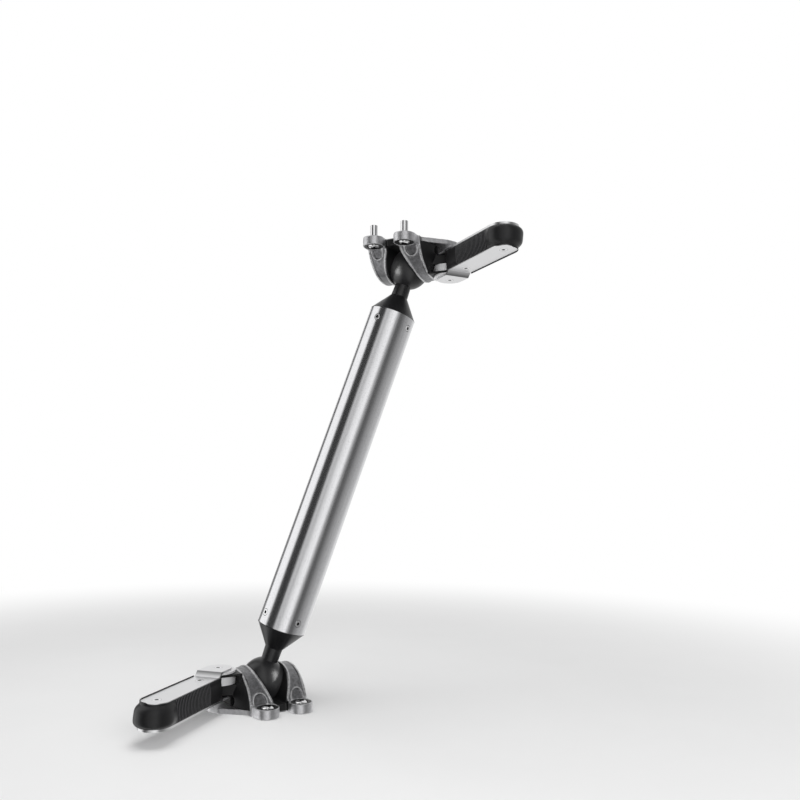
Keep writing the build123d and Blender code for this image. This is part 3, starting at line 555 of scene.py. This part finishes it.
def grip_rib_tree():
    """Upright half-round ribs that follow the grip's swelling side, in a row."""
    tree, given = node_group("grip ribs", ("Pitch", "Rib Radius", "Low", "High", "Foot Width", "Half Width",
                                           "Bulge"), ("Count",), ("Material",))
    size = given.outputs
    total = add(tree, "ShaderNodeMath", {0: size["Low"], 1: size["High"]}, operation="ADD")
    middle = add(tree, "ShaderNodeMath", {0: total, 1: 0.5}, operation="MULTIPLY")
    out = add(tree, "ShaderNodeMath", {0: size["Half Width"], 1: size["Bulge"]}, operation="ADD")
    low = add(tree, "ShaderNodeCombineXYZ", {"Y": size["Foot Width"], "Z": size["Low"]})
    mid = add(tree, "ShaderNodeCombineXYZ", {"Y": out, "Z": middle})
    high = add(tree, "ShaderNodeCombineXYZ", {"Y": size["Half Width"], "Z": size["High"]})
    arc = add(tree, "GeometryNodeCurveArc", {"Resolution": 12, "Start": low, "Middle": mid, "End": high},
              mode="POINTS")
    ring = add(tree, "GeometryNodeCurvePrimitiveCircle", {"Resolution": 8, "Radius": size["Rib Radius"]})
    rib = add(tree, "GeometryNodeCurveToMesh", {
        "Curve": arc.outputs["Curve"], "Profile Curve": ring.outputs["Curve"], "Fill Caps": True})
    pitch = add(tree, "ShaderNodeCombineXYZ", {"X": size["Pitch"]})
    row = add(tree, "GeometryNodeMeshLine", {"Count": size["Count"], "Offset": pitch})
    near = add(tree, "GeometryNodeInstanceOnPoints", {"Points": row, "Instance": rib})
    far = add(tree, "GeometryNodeTransform", {"Geometry": rib, "Rotation": (0, 0, math.pi)})
    far = add(tree, "GeometryNodeInstanceOnPoints", {"Points": row, "Instance": far})
    both = add(tree, "GeometryNodeJoinGeometry")
    for part in (near, far):
        tree.links.new(part.outputs["Instances"], both.inputs["Geometry"])
    real = add(tree, "GeometryNodeRealizeInstances", {"Geometry": both})
    done = add(tree, "GeometryNodeSetMaterial", {"Geometry": real, "Material": size["Material"]})
    add(tree, "NodeGroupOutput", {"Geometry": done})
    return tree


# ---- pieces ----
def mesh_piece(name, build, material):
    """A new object from a bmesh that a function fills."""
    mesh = bpy.data.meshes.new(name)
    shape = bmesh.new()
    build(shape)
    bmesh.ops.remove_doubles(shape, verts=shape.verts, dist=1e-7)
    bmesh.ops.recalc_face_normals(shape, faces=shape.faces)
    shape.to_mesh(mesh)
    shape.free()
    mesh.shade_smooth()
    mesh.set_sharp_from_angle(angle=CREASE)
    piece = new_object(name, mesh)
    set_material(piece, material)
    return piece


def join_pieces(name, parts):
    """Several objects as one mesh."""
    shape = bmesh.new()
    slots = []
    for part in parts:
        offset = len(slots)
        slots += list(part.data.materials)
        start = len(shape.faces)
        shape.from_mesh(part.data)
        shape.faces.ensure_lookup_table()
        for face in shape.faces[start:]:
            face.material_index += offset
    mesh = bpy.data.meshes.new(name)
    shape.to_mesh(mesh)
    shape.free()
    for material in slots:
        mesh.materials.append(material)
    mesh.set_sharp_from_angle(angle=CREASE)
    for part in parts:
        bpy.data.objects.remove(part)
    return new_object(name, mesh)


GRIP_LOW, GRIP_HIGH = span("lower_lever_grip", 2)
GRIP_START = 18.0 * MM
PLATE_HALF = 13.5 * MM       # half width of the upper plate
LOWER_HALF = 15.3 * MM       # half width of the lower plate
RIM_OUT = 0.75 * MM          # of the rubber rim past the upper plate's edge
RIM_IN = 0.06 * MM           # from the plate's edge to the rim's inner face
RIM_RISE = 1.3 * MM          # of that rim over the plate's underside
LIP_RISE = 2.9 * MM          # of the rim along the plate's far edge
LIP_START = 21.0 * MM        # where that higher rim starts along the lever
BARREL = (89.0 * MM, 24.0 * MM)      # where the swell into the barrel end starts, and its length
FULLNESS = (2.6, 1.8)        # of the sides' outline, and how much fuller it gets at the barrel end
WALL_STEPS, SIDE_STEPS, END_STEPS = 18, 60, 40
RIB_FOOT = 1.2 * MM          # from the grip's underside up to the ribs' feet
RIB_TOP = 0.2 * MM           # of the ribs' tops over the grip's top
RIB_EDGE = 0.15 * MM         # of the ribs' ends: in from the lower plate's edge, out from the upper one's
BODY_BACK, RIB_BACK = 0.75, 0.5      # of body and rib middles, in rib radii back from the full swell


def ease(share):
    """A smooth change from 0 to 1."""
    share = max(0.0, min(1.0, share))
    return share * share * (3 - 2 * share)


def grip_section(x, y, side, end):
    """Offsets past the upper plate's edge and heights, up one section of the grip and over its rim."""
    share = ease((x - BARREL[0]) / BARREL[1])
    bulge = side + (end - side) * share
    fullness = FULLNESS[0] + FULLNESS[1] * share
    middle, half = (GRIP_LOW + GRIP_HIGH) / 2, (GRIP_HIGH - GRIP_LOW) / 2
    taper = LOWER_HALF - PLATE_HALF
    wall = []
    for i in range(WALL_STEPS + 1):
        level = -1 + 2 * i / WALL_STEPS
        edge = taper * (1 - level) / 2
        swell = (bulge - taper / 2) * (1 - abs(level) ** fullness)
        wall.append((max(edge + swell, RIM_OUT * ease(level)), middle + half * level))
    # the higher rim rises within 1.5 mm of its start, and falls over 4 mm across the lever's middle line
    far = ease((x - LIP_START) / (1.5 * MM)) * ease((2 * MM - y) / (4 * MM))
    rim = GRIP_HIGH + RIM_RISE + (LIP_RISE - RIM_RISE) * far
    return wall + [(RIM_OUT, rim - 0.25 * MM), (RIM_OUT - 0.2 * MM, rim), (0.25 * MM, rim),
                   (RIM_IN, rim - 0.2 * MM), (RIM_IN, GRIP_HIGH + 0.01 * MM)]


def grip_body(shape, side, end):
    """The grip's rubber body: sides that swell, most at the barrel end, and a rim round the upper plate."""
    straight = [GRIP_START + (SCREW_OUT - GRIP_START) * i / SIDE_STEPS for i in range(SIDE_STEPS)]
    outline = [(x, -PLATE_HALF, 0.0, -1.0) for x in straight]
    for i in range(END_STEPS + 1):
        angle = -math.pi / 2 + math.pi * i / END_STEPS
        outline.append((SCREW_OUT + PLATE_HALF * math.cos(angle), PLATE_HALF * math.sin(angle),
                        math.cos(angle), math.sin(angle)))
    outline += [(x, PLATE_HALF, 0.0, 1.0) for x in reversed(straight)]
    columns = [[shape.verts.new((x + nx * out, y + ny * out, z)) for out, z in grip_section(x, y, side, end)]
               for x, y, nx, ny in outline]
    for i, column in enumerate(columns):
        beside = columns[(i + 1) % len(columns)]
        for k in range(len(column) - 1):
            shape.faces.new((column[k], beside[k], beside[k + 1], column[k + 1]))
    shape.faces.new([column[-1] for column in columns])
    shape.faces.new([column[0] for column in reversed(columns)])


class ARM_OT_grips(bpy.types.Operator):
    """Build the two ribbed rubber grips."""
    bl_idname = "support_arm.grips"
    bl_label = "Ribbed grips"

    def execute(self, context):
        settings = context.scene.arm_grip
        ribs = grip_rib_tree()
        for mount in MOUNTS:
            rubber = grip_rubber(mount)
            body = mesh_piece(f"{mount}_grip_body", lambda shape: grip_body(
                shape, settings.side_bulge - BODY_BACK * settings.rib_radius, settings.end_bulge), rubber)
            row = run_group(f"{mount}_grip_ribs", ribs, {
                "Pitch": settings.rib_pitch, "Rib Radius": settings.rib_radius,
                "Low": GRIP_LOW + RIB_FOOT, "High": GRIP_HIGH + RIB_TOP,
                "Foot Width": LOWER_HALF - RIB_EDGE, "Half Width": PLATE_HALF + RIB_EDGE,
                "Bulge": settings.side_bulge - RIB_BACK * settings.rib_radius,
                "Count": settings.rib_count, "Material": rubber}, [(0, 0, 0)])
            row.data.transform(Matrix.Translation((RIB_START, 0, 0)))
            piece = join_pieces(f"{mount}_ribbed_grip", [body, row])
            piece.data.transform(mount_place(mount) @ LEVER)
            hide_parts(f"{mount}_lever_grip")
            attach(piece, f"{mount}_lever")
        return {"FINISHED"}


def on_mount(mount, spots, aims, place=Matrix.Identity(4)):
    """Points and directions, carried from the lower mount's frame to a mount's place."""
    full = mount_place(mount) @ place
    return [full @ Vector(p) for p in spots], [full.to_3x3() @ Vector(a) for a in aims]


def softened(node, name, cell):
    """A CAD node's shape with its sharp edges rounded as a casting's are, as a new object. Its mesh is made
    again from cubes of the cell's size, and then smoothed."""
    mesh = frame["nodes"][node].data.copy()
    shape = bmesh.new()
    shape.from_mesh(mesh)
    bmesh.ops.remove_doubles(shape, verts=shape.verts, dist=1e-6)
    shape.to_mesh(mesh)
    shape.free()
    source = new_object(name, mesh)
    remesh = source.modifiers.new("cells", "REMESH")
    remesh.mode = "VOXEL"
    remesh.voxel_size = cell
    smooth = source.modifiers.new("round", "SMOOTH")
    smooth.factor = 0.5
    smooth.iterations = 3
    result = built(source)
    result.shade_smooth()
    return new_object(name, result)


class ARM_OT_castings(bpy.types.Operator):
    """Round the edges of the saddles and of the lever housings."""
    bl_idname = "support_arm.castings"
    bl_label = "Castings"

    def execute(self, context):
        coating = black_coating()
        for node, name, cell, slot in (
                ("base_casting", "saddle", 0.7 * MM, "bead_blasted_steel"),
                ("lever_housing", "fork_housing", 0.5 * MM, "black_coated_steel")):
            lower = softened(f"lower_{node}", f"lower_{name}", cell)
            upper = new_object(f"upper_{name}", lower.data.copy())
            upper.data.transform(HALF_TURN)
            for mount, piece in (("lower", lower), ("upper", upper)):
                set_material(piece, blasted_casting(mount) if name == "saddle" else coating)
                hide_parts(f"{mount}_{node}")
                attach(piece, f"{mount}_base")
        return {"FINISHED"}


HEX_SHARE = 1 / math.sqrt(3)      # corner radius of a hexagon from its distance across flats
DECK_SCREW = {"Head Radius": 7.0 * MM, "Head Height": 4.4 * MM, "Dome Fullness": 1.12,
              "Socket Radius": 6.6 * MM * HEX_SHARE, "Socket Depth": 2.8 * MM, "Shank Radius": 4.0 * MM}
PLATE_SCREW = {"Head Radius": 4.2 * MM, "Head Height": 1.6 * MM, "Dome Fullness": 4.0,
               "Socket Radius": 3.4 * MM * HEX_SHARE, "Socket Depth": 1.1 * MM, "Shank Radius": 2.0 * MM,
               "Shank Length": 9.0 * MM}
END_SCREW = {"Head Radius": 3.6 * MM, "Head Height": 1.75 * MM, "Dome Fullness": 2.2,
             "Socket Radius": 3.2 * MM * HEX_SHARE, "Socket Depth": 1.2 * MM, "Shank Radius": 2.0 * MM,
             "Shank Length": 8.3 * MM}
PLATE_THICK = 2.0 * MM
TUBE_START = 55.63 * MM      # from the ball's centre to the tube's end
END_SCREW_IN = 11.5 * MM     # from the tube's end to its screws
END_SCREW_SEAT = 23.75 * MM  # from the tube's axis to the undersides of their heads
END_SCREW_TURNS = [math.radians(angle) for angle in (37, 127, 217, 307)]


class ARM_OT_screws(bpy.types.Operator):
    """Set the socket screws of the deck lugs, the levers and the tube's ends."""
    bl_idname = "support_arm.screws"
    bl_label = "Socket screws"

    def execute(self, context):
        finish = {"Material": polished_steel(), "Socket Shade Material": socket_shadow()}
        tree = socket_screw_tree()
        for mount in MOUNTS:
            self.deck(mount, tree, finish)
            self.levers(mount, tree, finish)
        self.tube_ends(tree, finish)
        return {"FINISHED"}

    def deck(self, mount, tree, finish):
        """Button heads in the lugs' counterbores."""
        low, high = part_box("lower_deck_screws")
        x, y = high[0] - DECK_SCREW["Head Radius"], high[1] - DECK_SCREW["Head Radius"]
        seat = high[2] - DECK_SCREW["Head Height"]
        spots = [(i * x, j * y, seat) for i in (-1, 1) for j in (-1, 1)]
        spots, aims = on_mount(mount, spots, [(0, 0, 1)] * 4)
        piece = run_group(f"{mount}_button_screws", tree, {
            **DECK_SCREW, "Shank Length": seat - low[2], **finish}, spots, aims)
        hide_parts(f"{mount}_deck_screws")
        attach(piece, f"{mount}_base")

    def levers(self, mount, tree, finish):
        """Flush screws in both faces of the lever plates."""
        top = span("lower_lever_upper_plate", 2)[1]
        flat = GRIP_HIGH + PLATE_THICK
        base = span("lower_lever_lower_plate", 2)[0]
        depth = PLATE_SCREW["Head Height"]
        spots = [(0, 0, top - depth), (SCREW_IN, 0, flat - depth), (SCREW_OUT, 0, flat - depth),
                 (0, 0, base + depth), (SCREW_IN, 0, base + depth), (SCREW_OUT, 0, base + depth)]
        spots, aims = on_mount(mount, spots, [(0, 0, 1)] * 3 + [(0, 0, -1)] * 3, LEVER)
        piece = run_group(f"{mount}_plate_screws", tree, {**PLATE_SCREW, **finish}, spots, aims)
        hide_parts(f"{mount}_lever_pivot_screws", f"{mount}_lever_grip_screws")
        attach(piece, f"{mount}_lever")

    def tube_ends(self, tree, finish):
        """Small screws round both ends of the tube."""
        start = TUBE_START + END_SCREW_IN
        side = Vector(joint("lower_lever_turn")["axis"]).normalized().cross(ARM_AXIS).normalized()
        lean = side.cross(ARM_AXIS)
        for mount in MOUNTS:
            spots, aims = [], []
            for angle in END_SCREW_TURNS:
                out = lean * math.cos(angle) + ARM_AXIS.cross(lean) * math.sin(angle)
                aims.append(out)
                spots.append(LOW_BALL + ARM_AXIS * start + out * END_SCREW_SEAT)
            spots, aims = on_mount(mount, spots, aims)
            piece = run_group(f"{mount}_end_screws", tree, {**END_SCREW, **finish}, spots, aims)
            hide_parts(f"{mount}_tube_screws")
            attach(piece, "arm")


class ARM_OT_finishes(bpy.types.Operator):
    """Give every carried-over piece its finish."""
    bl_idname = "support_arm.finishes"
    bl_label = "Finishes"

    def execute(self, context):
        steel, turned, acetal = polished_steel(), turned_steel(), moulded_acetal()
        anodising = black_anodising()
        shared = {
            "housing_bolts": steel, "left_seat_pad": acetal, "right_seat_pad": acetal,
            "thrust_plunger": steel, "backing_disc": steel, "adjuster_screw": black_coating(),
            "deck_washers": acetal, "lever_cam_core": turned, "lever_hub_disc": turned,
            "lever_pivot_pin": steel, "lever_grip_spacers": steel, "ball": anodising,
            "ball_stem": anodising}
        for mount in MOUNTS:
            for node, material in shared.items():
                set_material(frame["nodes"][f"{mount}_{node}"], material)
            sheet = brushed_sheet(mount)
            for node in ("lever_upper_plate", "lever_lower_plate"):
                set_material(frame["nodes"][f"{mount}_{node}"], sheet)
        set_material(frame["nodes"]["arm_tube"], satin_tube())
        return {"FINISHED"}


# ---- the stage ----
CAMERA_SIDE = math.radians(235.28)      # azimuth of the camera, seen from the arm
CAMERA_PLACE = (-0.35064673, -0.75137428, 0.22148871)
CAMERA_TURN = [math.radians(angle) for angle in (96.5455578, -0.4135802, -34.8167084)]
LENS = 34.222866
PANEL_LIGHT = 1.25
# The wall panels: degrees round the room from the camera's side, and how bright the wall is there
PANELS = ((-180, 0.95), (-152, 0.9), (-143, 0.12), (-130, 0.2), (-122, 1.25), (-76, 1.25), (-66, 0.06),
          (-33, 0.05), (-26, 0.75), (-12, 0.62), (0, 1.0), (22, 1.25), (32, 0.5), (45, 0.12), (58, 0.16),
          (75, 0.34), (102, 0.52), (125, 0.62), (145, 0.9))
DECK_HALF = 3.0
DECK_FADE = (0.375, 1.075)              # where the deck starts to fade into the white room, and its end
SOFTBOX_FROM_BALL = Vector((-0.05, -0.02, 1.3))
SOFTBOX_SIZE = 1.0
FILL_FROM_CENTRE = Vector((-0.2, -1.2, 0.3))
FILL_SIZE = 0.9
GLINT_POWER = 20.0
GLINT_SIZE = (0.6, 1.1)
GLINT_AWAY = 1.2
# Each ball's glint window: degrees round from the camera's side, and degrees up
GLINTS = (("lower", LOW_BALL, 86, 8), ("upper", HIGH_BALL, -71, -3))


def studio_world(ambient):
    """A pale room: white behind the object, and wall panels that polished metal reflects."""
    world = bpy.data.worlds.new("studio")
    bpy.context.scene.world = world
    world.use_nodes = True
    tree = world.node_tree
    tree.nodes.clear()
    look = add(tree, "ShaderNodeTexCoord").outputs["Generated"]
    facing = add(tree, "ShaderNodeMapping", {"Vector": look, "Rotation": (0, 0, -CAMERA_SIDE)})
    around = add(tree, "ShaderNodeTexGradient", {"Vector": facing}, gradient_type="RADIAL")
    ramp = add(tree, "ShaderNodeValToRGB", {"Fac": around.outputs[1]})
    points = ramp.color_ramp.elements
    while len(points) > 1:
        points.remove(points[-1])
    for i, (angle, level) in enumerate(PANELS):
        place = (angle + 180) / 360
        stop = points[0] if i == 0 else points.new(place)
        stop.position = place
        stop.color = [level / PANEL_LIGHT] * 3 + [1]
    panels = add(tree, "ShaderNodeBackground", {"Color": ramp.outputs["Color"], "Strength": PANEL_LIGHT})
    white = add(tree, "ShaderNodeBackground", {"Color": (1, 1, 1, 1), "Strength": 1.0})
    room = add(tree, "ShaderNodeBackground", {"Color": (1, 1, 1, 1), "Strength": ambient})
    rays = add(tree, "ShaderNodeLightPath").outputs
    seen = add(tree, "ShaderNodeMath", {0: rays["Is Camera Ray"], 1: rays["Is Transmission Ray"]},
               operation="MAXIMUM")
    lit = add(tree, "ShaderNodeMixShader", {0: rays["Is Glossy Ray"], 1: room, 2: panels})
    shown = add(tree, "ShaderNodeMixShader", {0: seen, 1: lit, 2: white})
    add(tree, "ShaderNodeOutputWorld", {"Surface": shown})


def pale_deck(colour):
    """Painted deck: an even pale grey with a faint roller mottle, fading to the white room."""
    material, tree = new_material("pale deck paint")
    point = add(tree, "ShaderNodeTexCoord").outputs["Object"]
    mottle = add(tree, "ShaderNodeTexNoise", {"Vector": point, "Scale": 12.0, "Detail": 3.0})
    paint = add(tree, "ShaderNodeMix", {0: mottle, 6: shade(colour, 0.97), 7: list(colour)}, data_type="RGBA")
    deck = add(tree, "ShaderNodeBsdfPrincipled", {"Base Color": paint, "Roughness": 0.7})
    rays = add(tree, "ShaderNodeLightPath").outputs
    seen = add(tree, "ShaderNodeMath", {0: rays["Is Camera Ray"], 1: rays["Is Glossy Ray"]},
               operation="MAXIMUM")
    seen = add(tree, "ShaderNodeMath", {0: seen, 1: rays["Is Transmission Ray"]}, operation="MAXIMUM")
    away = add(tree, "ShaderNodeVectorMath", {0: point}, operation="LENGTH")
    far = add(tree, "ShaderNodeMapRange", {
        "Value": away, "From Min": DECK_FADE[0], "From Max": DECK_FADE[1]}, interpolation_type="SMOOTHSTEP")
    fade = add(tree, "ShaderNodeMath", {0: far, 1: seen}, operation="MULTIPLY")
    white = add(tree, "ShaderNodeEmission", {"Color": (1, 1, 1, 1), "Strength": 1.0})
    both = add(tree, "ShaderNodeMixShader", {0: fade, 1: deck, 2: white})
    add(tree, "ShaderNodeOutputMaterial", {"Surface": both})
    return material


def soft_lamp(name, place, target, width, height, power):
    """A large lamp that faces a point."""
    lamp = bpy.data.lights.new(name, "AREA")
    lamp.energy = power
    lamp.shape = "RECTANGLE"
    lamp.size = width
    lamp.size_y = height
    holder = new_object(name, lamp)
    holder.location = place
    holder.rotation_euler = (Vector(target) - Vector(place)).to_track_quat("-Z", "Y").to_euler()
    return holder


def ball_glint(mount, ball, azimuth, rise):
    """A tall soft window that only one ball mirrors."""
    turn, lift = CAMERA_SIDE + math.radians(azimuth), math.radians(rise)
    out = Vector((math.cos(turn) * math.cos(lift), math.sin(turn) * math.cos(lift), math.sin(lift)))
    window = soft_lamp(f"{mount} ball glint", ball + GLINT_AWAY * out, ball, *GLINT_SIZE, GLINT_POWER)
    alone = bpy.data.collections.new(f"{mount} ball alone")
    alone.objects.link(frame["nodes"][f"{mount}_ball"])
    window.light_linking.receiver_collection = alone
    window.light_linking.blocker_collection = alone


class ARM_OT_stage(bpy.types.Operator):
    """Lay the pale deck, light the studio and place the camera."""
    bl_idname = "support_arm.stage"
    bl_label = "Stage"

    def execute(self, context):
        settings = context.scene.arm_stage
        studio_world(settings.ambient)
        mesh = bpy.data.meshes.new("deck")
        corners = [(x * DECK_HALF, y * DECK_HALF, 0) for x, y in ((-1, -1), (1, -1), (1, 1), (-1, 1))]
        mesh.from_pydata(corners, [], [(0, 1, 2, 3)])
        floor = new_object("deck", mesh)
        set_material(floor, pale_deck(settings.floor))
        floor.visible_glossy = False
        for name, target, away, side, power in (
                ("overhead softbox", LOW_BALL, SOFTBOX_FROM_BALL, SOFTBOX_SIZE, settings.key_power),
                ("camera fill", ARM_CENTRE, FILL_FROM_CENTRE, FILL_SIZE, settings.fill_power)):
            soft_lamp(name, target + away, target, side, side, power).visible_glossy = False
        for mount, ball, azimuth, rise in GLINTS:
            ball_glint(mount, ball, azimuth, rise)
        eye = bpy.data.cameras.new("eye")
        eye.lens = LENS
        eye.sensor_width = 36
        camera = new_object("eye", eye)
        camera.location = CAMERA_PLACE
        camera.rotation_euler = CAMERA_TURN
        context.scene.camera = camera
        context.scene.view_settings.view_transform = "Standard"
        return {"FINISHED"}


class ARM_PT_panel(bpy.types.Panel):
    """Steps and settings of the support arm."""
    bl_idname = "ARM_PT_panel"
    bl_label = "Support arm"
    bl_space_type = "VIEW_3D"
    bl_region_type = "UI"
    bl_category = "Support arm"

    def draw(self, context):
        for kind in STEPS:
            self.layout.operator(kind.bl_idname)
        for group in (context.scene.arm_grip, context.scene.arm_metal, context.scene.arm_stage):
            for name in group.__annotations__:
                self.layout.prop(group, name)


STEPS = (ARM_OT_finishes, ARM_OT_castings, ARM_OT_grips, ARM_OT_screws, ARM_OT_stage)
GROUPS = (("arm_grip", ArmGripSettings), ("arm_metal", ArmMetalSettings), ("arm_stage", ArmStageSettings))


def register():
    for name, group in GROUPS:
        bpy.utils.register_class(group)
        setattr(bpy.types.Scene, name, PointerProperty(type=group))
    for kind in STEPS + (ARM_PT_panel,):
        bpy.utils.register_class(kind)


def unregister():
    for kind in reversed(STEPS + (ARM_PT_panel,)):
        bpy.utils.unregister_class(kind)
    for name, group in reversed(GROUPS):
        delattr(bpy.types.Scene, name)
        bpy.utils.unregister_class(group)


def main():
    register()
    bpy.ops.support_arm.finishes()
    bpy.ops.support_arm.castings()
    bpy.ops.support_arm.grips()
    bpy.ops.support_arm.screws()
    bpy.ops.support_arm.stage()


if __name__ == "__main__":
    main()
